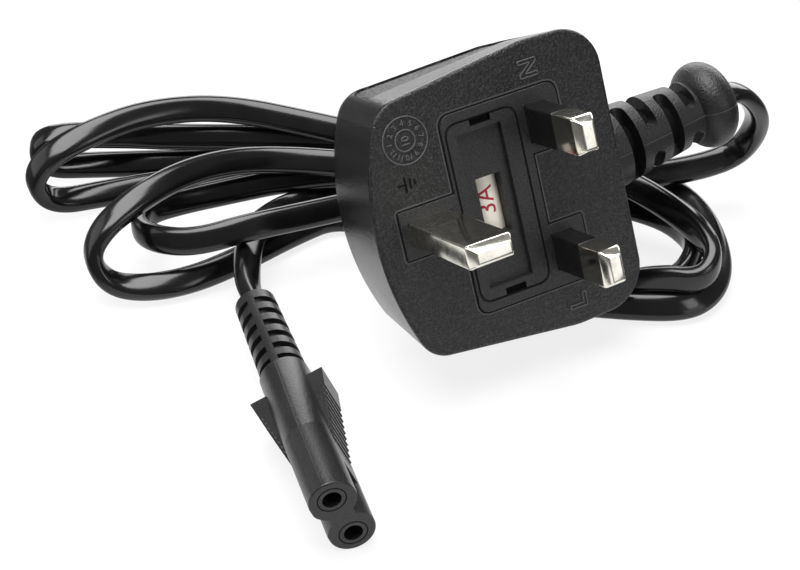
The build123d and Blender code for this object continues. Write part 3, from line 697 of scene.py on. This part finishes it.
# letters on the pin face
marks = {
    "neutral": {
        "at": (20.15, -0.2),
        "corners": [(-1.45, -1.6), (-0.85, -1.6), (-0.85, 0.55), (0.85, -1.6), (1.45, -1.6), (1.45, 1.6),
                    (0.85, 1.6), (0.85, -0.55), (-0.85, 1.6), (-1.45, 1.6)],
    },
    "live": {
        "at": (-20.5, -0.5),
        "corners": [(-1.2, -1.6), (1.2, -1.6), (1.2, -1.0), (-0.6, -1.0), (-0.6, 1.6), (-1.2, 1.6)],
    },
}
markForm = {"half": 0.13, "crest": 0.06, "foot": -0.2, "proud": 0.18, "reach": 0.12, "cornerSteps": 3}


def buildLetters():
    # a low ridge carried round each letter's outline
    f = markForm
    section = lowRidge(f["half"], f["crest"], f["foot"], f["proud"])
    for name, mark in marks.items():
        outline = softLoop(mark["corners"], f["reach"], f["cornerSteps"])
        across = onFlat(loopSides(outline))
        ring = carried(onFlat(outline + mark["at"]), across, upright(across), section)
        faces = gridFaces(*ring.shape[:2], closedRows=True)
        # their lighter finish is a painted highlight on the raised letters
        addPiece("mark_" + name, onPlug(ring), faces, "mark")
    print("letters on the face:", len(marks))


buildLetters()

# earth sign on the pin face: its strokes are painted shade, as dark as engraved strokes
earthSign = {
    "at": (8.2, 25.0),
    "stem": 1.3,
    "bars": (2.6, 1.7, 0.8),
    "pitch": 0.85,
    "stroke": 0.30,
    "foot": -0.2,
    "proud": 0.06,
}


def buildEarthSign():
    # a stem down to three bars, each shorter than the last
    s = earthSign
    half, x, y = s["stroke"] / 2, *s["at"]
    height = (s["foot"], s["proud"])
    boxes = [(x - half, x + half, y, y + s["stem"], *height)]
    for k, wide in enumerate(s["bars"]):
        middle = y - k * s["pitch"]
        boxes.append((x - wide / 2, x + wide / 2, middle - half, middle + half, *height))
    verts, faces = bars(boxes)
    addPiece("mark_earth", onPlug(verts), faces, "paintedShade")
    print("earth sign bars:", len(s["bars"]))


buildEarthSign()

# number dial on the pin face
dial = {
    "at": (15.2, 23.4),
    "rings": (3.9, 1.75),
    "ringSteps": 64,
    "stroke": 0.26,
    "crest": 0.5,             # share of a ring's width at its top
    "foot": -0.2,
    "proud": 0.16,
    "numbers": 12,
    "numberAt": 2.85,
    "numberSize": 1.25,
    "numberThick": 0.4,
    "middle": "10",
    "middleSize": 1.9,
}


def buildDial():
    # two rings of a low section, plain numbers standing round between them, one in the middle
    d = dial
    out = circle(d["ringSteps"])
    half = d["stroke"] / 2
    section = lowRidge(half, half * d["crest"], d["foot"], d["proud"])
    centre = np.array([*d["at"], 0.0])
    parts = []
    for radius in d["rings"]:
        ring = carried(centre + out * radius, out, upright(out), section)
        parts.append((ring.reshape(-1, 3), gridFaces(*ring.shape[:2], closedRows=True)))
    lift = d["proud"] - d["numberThick"] / 2
    for k in range(d["numbers"]):
        verts, faces = lettering(str(k + 1), d["numberSize"], d["numberThick"])
        a = -k * 2 * np.pi / d["numbers"]
        turned = np.stack([verts[:, 0] * np.cos(a) - verts[:, 1] * np.sin(a),
                           verts[:, 0] * np.sin(a) + verts[:, 1] * np.cos(a), verts[:, 2]], 1)
        place = centre + (-np.sin(a) * d["numberAt"], np.cos(a) * d["numberAt"], lift)
        parts.append((turned + place, faces))
    verts, faces = lettering(d["middle"], d["middleSize"], d["numberThick"])
    parts.append((verts + centre + (0, 0, lift), faces))
    verts, faces = gathered(parts)
    # the lighter finish paints the highlight on the raised rings and numbers
    addPiece("dial_numbers", onPlug(verts), faces, "mark")
    print("dial numbers:", d["numbers"])


buildDial()

# rating printed round the fuse tube
fusePrint = {
    "words": "3A",
    "size": 4.3,
    "at": (0.6, 0.8),         # along the tube, and round it from the top
    "tubeR": 2.95,
    "tubeY": 10.1,
    "tubeZ": -5.4,
    "thick": 0.05,
    "lift": 0.01,
    "slices": 9,
}


def buildFusePrint():
    # flat letters bent round the tube: their height becomes an angle about its axis
    p = fusePrint
    verts, faces = lettering(p["words"], p["size"], p["thick"], p["slices"])
    r = p["tubeR"] + p["lift"] + verts[:, 2]
    a = (verts[:, 1] + p["at"][1]) / p["tubeR"]
    bent = np.stack([verts[:, 0] + p["at"][0], p["tubeY"] + r * np.sin(a), p["tubeZ"] + r * np.cos(a)], 1)
    addPiece("fuse_print", onPlug(bent), faces, "print", body="fuse_drawer")
    print("fuse printed")


buildFusePrint()

# mould lines: thin ridges where the halves of the mould met, in a lighter finish that paints the highlight
# along them
mouldLine = {
    "half": 0.14,
    "crest": 0.4,             # share of the width at the top
    "proud": 0.07,
    "sunk": 0.25,
    "reliefRuns": [(-13.4, -17.05), (-19.55, -25.55), (-28.05, -39.5)],
    "reliefSteps": 40,
    "bodyRuns": [(-32.6, 5.07, -14.0, 7.8), (-14.0, 7.8, -1.0, 7.8)],    # place and height, twice
    "bodySteps": 16,
}


def reliefRadius(y):
    # straight taper to the neck, then a circle through neck, rim and end
    (y0, r0), (y1, r1), (y2, r2), (y3, r3) = (relief[k] for k in ("start", "neck", "rim", "end"))
    sides = 2 * np.array([[y2 - y1, r2 - r1], [y3 - y1, r3 - r1]])
    level = [y2**2 - y1**2 + r2**2 - r1**2, y3**2 - y1**2 + r3**2 - r1**2]
    cy, cr = np.linalg.solve(sides, level)
    reach = (y1 - cy) ** 2 + (r1 - cr) ** 2
    rim = cr + np.sqrt(np.maximum(reach - (y - cy) ** 2, 0))
    return np.where(y > y1, r0 + (r1 - r0) * (y - y0) / (y1 - y0), rim)


def ridge(run, height, place):
    # a low ridge along a run, in one plane, from under the surface to a little over it
    m = mouldLine
    zero = np.zeros(len(run))
    section = lowRidge(m["half"], m["half"] * m["crest"], height - m["sunk"], height + m["proud"])
    verts = np.stack([place(run, zero + x, h) for x, h in section], 1)
    return verts.reshape(-1, 3), gridFaces(*verts.shape[:2]) + endFaces(*verts.shape[:2])


def buildMouldLines():
    # ridges on both sides: along the relief between its slots, and along the connector's body
    m = mouldLine
    parts = []
    for side in (1, -1):
        for y0, y1 in m["reliefRuns"]:
            run = np.linspace(y0, y1, m["reliefSteps"])
            parts.append(ridge(run, reliefRadius(run),
                               lambda y, x, h: onRelief(np.stack([x, y, side * h], -1))))
    verts, faces = gathered(parts)
    addPiece("relief_mould_line", verts, faces, "ridge")
    parts = []
    for side in (1, -1):
        for z0, h0, z1, h1 in m["bodyRuns"]:
            run = np.linspace(z0, z1, m["bodySteps"])
            parts.append(ridge(run, np.linspace(h0, h1, m["bodySteps"]),
                               lambda z, x, h: onConnector(np.stack([x, side * h, z], -1))))
    verts, faces = gathered(parts)
    addPiece("connector_mould_line", verts, faces, "ridge")
    print("mould lines laid")


buildMouldLines()

# the cable's black sheath at the bottom of the relief's slots, painted very dark matte as the deep slots'
# shade
reliefCoreShade = {"radius": 3.82, "from": -16.6, "to": -32.6, "steps": 40}


def buildReliefCoreShade():
    # a plain round bar on the relief's own axis, just proud of the slots' roots
    c = reliefCoreShade
    around = circle(c["steps"])[:, [0, 2, 1]] * c["radius"]
    ends = np.array([around + (0, y, 0) for y in (c["from"], c["to"])])
    faces = gridFaces(*ends.shape[:2]) + endFaces(*ends.shape[:2])
    addPiece("relief_core_shade", onRelief(ends), faces, "paintedShade")
    print("relief core laid")


buildReliefCoreShade()

# painted shade: dark rings round the two sockets of the connector, standing in for the grooves' shade
socketGrooveShade = {"y": 4.3, "radius": 2.28, "half": 0.11, "foot": -0.3, "front": 0.02, "steps": 48}


def buildSocketGrooveShades():
    # a low rectangular section carried round a circle
    s = socketGrooveShade
    out = circle(s["steps"])
    section = lowRidge(s["half"], s["half"], s["foot"], s["front"])
    for name, side in (("live", 1), ("neutral", -1)):
        ring = carried(out * s["radius"] + (0, side * s["y"], 0), out, upright(out), section)
        faces = gridFaces(*ring.shape[:2], closedRows=True)
        addPiece("socket_groove_shade_" + name, onConnector(ring), faces, "paintedShade")
    print("socket rings: 2")


buildSocketGrooveShades()


# cord
cable = {
    "wide": 4.9,
    "thick": 3.2,
    "around": 36,
    "step": 0.0007,         # metres from one section to the next
    "curveSteps": 14,
    "squareness": 2.8,      # power of the section's oval: 2 is an ellipse, more is squarer
    "sharp": 60,
    "inside": 6.0,          # how far the cable goes on inside each relief
    "leadOut": 3.6,
    "leadIn": 7.0,
    "facing": (0.0, -0.777, 0.629),   # the way the wide side looks where the cable is free to
    "freeBend": 6.0,        # bends tighter than this radius set the side themselves
    "held": 0.004,          # metres at each end where the relief sets the side, and how firmly
    "hold": 2.5e5,
    "gather": 7.0,          # millimetres over which bends are weighed together
    "settle": 9.0,          # millimetres over which the flat side swings round
    "bell": 4,              # a bell curve is cut off at this many of its own lengths
    "tail": (0.0, 0.0, -52.8),
}
cordPoints = [
    # standing turn behind the plug's relief, then left along the back
    (0.0382, 0.0318, 0.0238), (0.0393, 0.0348, 0.0172), (0.0366, 0.0364, 0.0104),
    (0.0295, 0.0342, 0.0089), (0.0200, 0.0323, 0.0084), (0.0080, 0.0340, 0.0060),
    (-0.0060, 0.0380, 0.0030), (-0.0220, 0.0425, 0.0026), (-0.0380, 0.0455, 0.0026),
    (-0.0540, 0.0453, 0.0026), (-0.0700, 0.0442, 0.0026), (-0.0830, 0.0436, 0.0026),
    # hindmost fold at the left
    (-0.0902, 0.0432, 0.0026), (-0.0923, 0.0428, 0.0062), (-0.0902, 0.0424, 0.0099),
    (-0.0795, 0.0438, 0.0094), (-0.0660, 0.0444, 0.0084), (-0.0520, 0.0452, 0.0078),
    (-0.0370, 0.0450, 0.0074), (-0.0200, 0.0442, 0.0073), (-0.0040, 0.0423, 0.0065),
    (0.0100, 0.0398, 0.0048), (0.0210, 0.0375, 0.0039),
    # outer turn at the right
    (0.0260, 0.0330, 0.0038), (0.0294, 0.0262, 0.0040), (0.0312, 0.0182, 0.0036),
    (0.0312, 0.0110, 0.0030), (0.0289, 0.0053, 0.0027), (0.0245, 0.0019, 0.0026),
    (0.0160, 0.0020, 0.0026), (0.0040, 0.0036, 0.0026), (-0.0080, 0.0061, 0.0026),
    (-0.0210, 0.0140, 0.0042), (-0.0310, 0.0215, 0.0106), (-0.0410, 0.0164, 0.0116),
    (-0.0510, 0.0118, 0.0124), (-0.0600, 0.0098, 0.0106), (-0.0670, 0.0116, 0.0097),
    # small inner fold at the left
    (-0.0710, 0.0162, 0.0088), (-0.0698, 0.0222, 0.0080), (-0.0640, 0.0260, 0.0074),
    (-0.0555, 0.0292, 0.0073), (-0.0460, 0.0322, 0.0076), (-0.0340, 0.0341, 0.0078),
    (-0.0180, 0.0340, 0.0076), (-0.0030, 0.0312, 0.0074), (0.0090, 0.0272, 0.0072),
    (0.0177, 0.0255, 0.0064),
    # inner turn at the right
    (0.0243, 0.0214, 0.0062), (0.0275, 0.0135, 0.0062), (0.0232, 0.0066, 0.0036),
    (0.0135, 0.0096, 0.0026), (0.0030, 0.0136, 0.0026), (-0.0100, 0.0170, 0.0026),
    (-0.0240, 0.0230, 0.0026), (-0.0360, 0.0286, 0.0026), (-0.0440, 0.0230, 0.0026),
    (-0.0525, 0.0155, 0.0026), (-0.0610, 0.0094, 0.0026), (-0.0690, 0.0070, 0.0026),
    # large front fold at the left
    (-0.0755, 0.0070, 0.0036), (-0.0786, 0.0090, 0.0082), (-0.0760, 0.0116, 0.0128),
    (-0.0705, 0.0160, 0.0152), (-0.0640, 0.0224, 0.0156), (-0.0560, 0.0284, 0.0143),
    (-0.0470, 0.0313, 0.0128), (-0.0350, 0.0310, 0.0121), (-0.0200, 0.0290, 0.0119),
    (-0.0060, 0.0258, 0.0116), (0.0025, 0.0234, 0.0113),
    # hidden turn behind the plug
    (0.0085, 0.0220, 0.0108), (0.0113, 0.0199, 0.0067), (0.0084, 0.0178, 0.0026),
    (-0.0005, 0.0190, 0.0026), (-0.0090, 0.0234, 0.0026), (-0.0170, 0.0290, 0.0026),
    (-0.0260, 0.0352, 0.0026), (-0.0370, 0.0402, 0.0026), (-0.0520, 0.0406, 0.0026),
    (-0.0670, 0.0382, 0.0026), (-0.0790, 0.0347, 0.0026),
    # tall fold at the left
    (-0.0880, 0.0317, 0.0027), (-0.0913, 0.0302, 0.0079), (-0.0884, 0.0310, 0.0132),
    (-0.0815, 0.0348, 0.0156), (-0.0710, 0.0415, 0.0160), (-0.0570, 0.0456, 0.0144),
    (-0.0400, 0.0433, 0.0118), (-0.0240, 0.0376, 0.0113), (-0.0080, 0.0345, 0.0123),
    (0.0050, 0.0305, 0.0127), (0.0150, 0.0253, 0.0124),
    # middle turn at the right
    (0.0218, 0.0195, 0.0117), (0.0270, 0.0136, 0.0108), (0.0298, 0.0074, 0.0094),
    (0.0270, 0.0032, 0.0074), (0.0205, 0.0050, 0.0066), (0.0125, 0.0066, 0.0036),
    (0.0030, 0.0085, 0.0026), (-0.0060, 0.0109, 0.0034), (-0.0140, 0.0154, 0.0078),
    (-0.0210, 0.0224, 0.0078), (-0.0280, 0.0294, 0.0044), (-0.0340, 0.0350, 0.0026),
    (-0.0405, 0.0325, 0.0030), (-0.0462, 0.0252, 0.0062),
    # up over the strands and into the connector
    (-0.0512, 0.0170, 0.0073),
]


def splineLine(points):
    # one NURBS spline on the listed points, read back as a fine line of points
    curve = bpy.data.curves.new("cordLine", "CURVE")
    curve.dimensions = "3D"
    curve.resolution_u = cable["curveSteps"]
    spline = curve.splines.new("NURBS")
    spline.points.add(len(points) - 1)
    spline.points.foreach_set("co", np.c_[points, np.ones(len(points))].ravel())
    spline.order_u = 3
    spline.use_endpoint_u = True
    holder = bpy.data.objects.new("cordLine", curve)
    bpy.context.scene.collection.objects.link(holder)
    mesh = bpy.data.meshes.new_from_object(holder)
    line = np.empty(len(mesh.vertices) * 3)
    mesh.vertices.foreach_get("co", line)
    bpy.data.objects.remove(holder)
    bpy.data.meshes.remove(mesh)
    return line.reshape(-1, 3)


def evenLine(line, step):
    # the same line at even steps of its own length
    along = np.r_[0, np.cumsum(np.linalg.norm(np.diff(line, axis=0), axis=1))]
    t = np.linspace(0, along[-1], int(along[-1] / step) + 1)
    return np.stack([np.interp(t, along, line[:, k]) for k in range(3)], 1), t


def smoothed(values, step, reach):
    # each column weighed along the line with a bell curve, the end values held past the ends
    count = int(cable["bell"] * reach / step)
    t = np.arange(-count, count + 1) * step
    kernel = np.exp(-0.5 * (t / reach) ** 2)
    kernel /= kernel.sum()
    padded = np.pad(values, ((count, count), (0, 0)), "edge")
    return np.stack([np.convolve(column, kernel, "valid") for column in padded.T], 1)


def flatSide(line, step, ends):
    # the wide side lies along the bend's binormal in a tight bend, and else so that it looks the facing
    # way: the tensors of both are added, smoothed along the line, and the strongest direction square to
    # it is taken; its twist, added up step by step, is smoothed too, and the side turned by the difference
    tangent = np.gradient(line, axis=0)
    tangent /= np.linalg.norm(tangent, axis=1)[:, None]
    bend = np.cross(tangent, np.gradient(tangent, axis=0) / step)
    free = np.cross(tangent, cable["facing"]) / (cable["freeBend"] * mm)
    tensor = bend[:, :, None] * bend[:, None, :] + free[:, :, None] * free[:, None, :]
    count = int(cable["held"] / step)
    tensor[:count] = cable["hold"] * np.outer(ends[0], ends[0])
    tensor[-count:] = cable["hold"] * np.outer(ends[1], ends[1])
    tensor = smoothed(tensor.reshape(-1, 9), step, cable["gather"] * mm).reshape(-1, 3, 3)
    square = np.eye(3) - tangent[:, :, None] * tangent[:, None, :]
    wide = np.linalg.eigh(square @ tensor @ square)[1][:, :, 2]
    turn = np.sign((wide[1:] * wide[:-1]).sum(1))
    wide[1:] *= np.cumprod(np.where(turn == 0, 1, turn))[:, None]
    thin = np.cross(tangent, wide)
    # twist from one place to the next, once the side is tipped with the line
    tip = wide[:-1] - (wide[:-1] * tangent[1:]).sum(1)[:, None] * tangent[1:]
    twist = np.arctan2((tip * thin[1:]).sum(1), (tip * wide[1:]).sum(1))
    angle = -np.r_[0, np.cumsum(twist)][:, None]
    back = smoothed(angle, step, cable["settle"] * mm) - angle
    wide = wide * np.cos(back) + thin * np.sin(back)
    return wide, np.cross(tangent, wide)


def cableSection():
    # a squarish oval: cosine and sine each raised to two over the power, with their signs kept
    phi = np.linspace(0, 2 * np.pi, cable["around"], endpoint=False) + np.pi / cable["around"]
    c, s, power = np.cos(phi), np.sin(phi), 2 / cable["squareness"]
    a = np.sign(c) * np.abs(c) ** power * cable["wide"] / 2
    b = np.sign(s) * np.abs(s) ** power * cable["thick"] / 2
    return np.stack([a, b], 1)


def buildCord():
    # the flat section carried along the line from inside one relief to inside the other
    step = cable["step"]
    end = relief["end"][0]
    exitPoint = onRelief((0, end, 0))
    intoTail = onConnector(cable["tail"])
    points = np.array(cordPoints) + shift * mm
    first = onRelief((0, end + cable["inside"], 0))
    lead = onRelief((0, end - cable["leadOut"], 0))
    last = intoTail + noseOut * cable["inside"] * mm
    approach = intoTail - noseOut * cable["leadIn"] * mm
    control = np.vstack([first, exitPoint, lead, points, approach, intoTail, last])
    line, along = evenLine(splineLine(control), step)
    wide, thin = flatSide(line, step, (plugOut, noseY))
    verts = carried(line, wide, thin, cableSection() * mm)
    rows, cols = verts.shape[:2]
    obj = addPiece("cord_cable", verts, gridFaces(rows, cols) + endFaces(rows, cols), "cable",
                   sharp=cable["sharp"], standsFor=["cord"])
    # map: length along the cable, and length round it
    uv = obj.data.uv_layers.new(name="along")
    index = np.empty(len(obj.data.loops), int)
    obj.data.loops.foreach_get("vertex_index", index)
    mapped = np.stack([along[index // cols], (index % cols) * (cable["wide"] * mm * 2 / cols)], 1)
    uv.data.foreach_set("uv", mapped.ravel())
    lowest = float(verts[..., 2].min()) / mm
    print("cord laid:", round(float(along[-1]), 3), "m, lowest", round(lowest, 2), "mm")


buildCord()


# camera and studio
camera = {"at": (-15.21, -292.02, 255.08), "tilt": 51.0, "lens": 103.5, "sensor": 36.0, "near": 0.01}


def buildCamera():
    # the photograph's place and lens, tilted up from straight down
    data = bpy.data.cameras.new("photoCamera")
    data.lens = camera["lens"]
    data.sensor_width = camera["sensor"]
    data.clip_start = camera["near"]
    obj = bpy.data.objects.new("photoCamera", data)
    obj.location = np.array(camera["at"]) * mm
    obj.rotation_euler = (math.radians(camera["tilt"]), 0, 0)
    bpy.context.scene.collection.objects.link(obj)
    bpy.context.scene.camera = obj
    bpy.context.scene.view_settings.view_transform = "Standard"
    print("camera placed")


studio = {
    "around": 0.11,           # level of the surroundings as they light the part
    "mirrored": 0.22,         # and as they show in what shines
    "floorReach": 3.0,
    "floorColor": 0.92,
    "floorRough": 0.9,
    "floorGlow": 0.82,        # share of the floor that is plain white to the eye
    "sheet": (0.045, 0.10),   # metres to either side where the pale sheet starts to end and ends
    "tableColor": 0.06,
    "lamps": [
        # name, place, aim, size, watts
        ("topSoft", (-0.10, 0.05, 0.60), (0.0, 0.0, 0.0), (0.6, 0.5), 7.0),
        ("leftSoft", (-0.60, 0.05, 0.25), (0.0, 0.0, 0.02), (0.5, 0.5), 0.8),
        ("rightSoft", (0.46, -0.36, 0.42), (0.0, 0.0, 0.03), (0.25, 0.25), 0.6),
        ("rightCard", (0.50, -0.42, 0.15), (0.0, 0.0, 0.03), (0.45, 0.28), 0.38),
        ("backSoft", (0.10, 0.70, 0.22), (0.0, 0.0, 0.02), (0.9, 0.4), 5.0),
    ],
}


def seenRays(n, link):
    # one for a ray from the camera or through glass, and one for a ray off a glossy surface; rays that only
    # light the part have neither
    path = n.new("ShaderNodeLightPath")
    direct = mathNode(n, link, "MAXIMUM", path.outputs["Is Camera Ray"], path.outputs["Is Transmission Ray"])
    return direct, path.outputs["Is Glossy Ray"]


def buildWorld():
    # surroundings: white to the camera, dimmer in what shines, and dimmest as light
    s = studio
    world = bpy.data.worlds.new("studio")
    bpy.context.scene.world = world
    world.use_nodes = True
    n, link = world.node_tree.nodes, world.node_tree.links
    n["Background"].inputs["Color"].default_value = (1, 1, 1, 1)
    direct, glossy = seenRays(n, link)
    level = mathNode(n, link, "MULTIPLY_ADD", direct, 1 - s["around"], s["around"])
    level = mathNode(n, link, "MULTIPLY_ADD", glossy, s["mirrored"] - s["around"], level)
    link.new(level, n["Background"].inputs["Strength"])


def floorMaterial():
    # a pale sheet that ends in a dark table at either side; to the camera a share of it is white, growing to
    # all of it past the sheet, and what shines shows the same share on the sheet
    s = studio
    mat, n, link, shader = newMaterial("paleFloor")
    shader.inputs["Roughness"].default_value = s["floorRough"]
    # how far to the side a place is, from none on the sheet to one past its soft edge
    split = n.new("ShaderNodeSeparateXYZ")
    link.new(n.new("ShaderNodeTexCoord").outputs["Object"], split.inputs["Vector"])
    edge = addNode(n, "ShaderNodeMapRange", From_Min=s["sheet"][0], From_Max=s["sheet"][1])
    edge.interpolation_type = "SMOOTHSTEP"
    link.new(mathNode(n, link, "ABSOLUTE", split.outputs["X"]), edge.inputs["Value"])
    past = edge.outputs["Result"]
    direct, glossy = seenRays(n, link)
    share = mathNode(n, link, "MULTIPLY_ADD", past, 1 - s["floorGlow"], s["floorGlow"])
    share = mathNode(n, link, "MULTIPLY", share, direct)
    onSheet = mathNode(n, link, "MULTIPLY_ADD", past, -s["floorGlow"], s["floorGlow"])
    share = mathNode(n, link, "MULTIPLY_ADD", onSheet, glossy, share)
    table = mathNode(n, link, "MULTIPLY", past, mathNode(n, link, "SUBTRACT", 1.0, direct))
    color = mixColor(n, link, table, (s["floorColor"],) * 3, (s["tableColor"],) * 3)
    link.new(color, shader.inputs["Base Color"])
    glow = addNode(n, "ShaderNodeEmission", Color=(1, 1, 1, 1), Strength=1.0)
    mix = n.new("ShaderNodeMixShader")
    link.new(share, mix.inputs["Fac"])
    link.new(shader.outputs["BSDF"], mix.inputs[1])
    link.new(glow.outputs["Emission"], mix.inputs[2])
    link.new(mix.outputs["Shader"], n["Material Output"].inputs["Surface"])
    return mat


def buildFloor():
    # one flat square under the part
    far = studio["floorReach"]
    corners = [(-far, -far, 0), (far, -far, 0), (far, far, 0), (-far, far, 0)]
    floor = addMesh("floor", corners, [[0, 1, 2, 3]])
    floor.data.materials.append(floorMaterial())


def buildLamps():
    # soft rectangles that look at their aim, out of the camera's sight
    for name, place, aim, size, watts in studio["lamps"]:
        data = bpy.data.lights.new(name, "AREA")
        data.shape = "RECTANGLE"
        data.size, data.size_y = size
        data.energy = watts
        lamp = bpy.data.objects.new(name, data)
        lamp.location = place
        lamp.rotation_euler = (Vector(aim) - Vector(place)).to_track_quat("-Z", "Y").to_euler()
        lamp.visible_camera = False
        bpy.context.scene.collection.objects.link(lamp)
    print("studio set with", len(studio["lamps"]), "lamps")


buildCamera()
buildWorld()
buildFloor()
buildLamps()
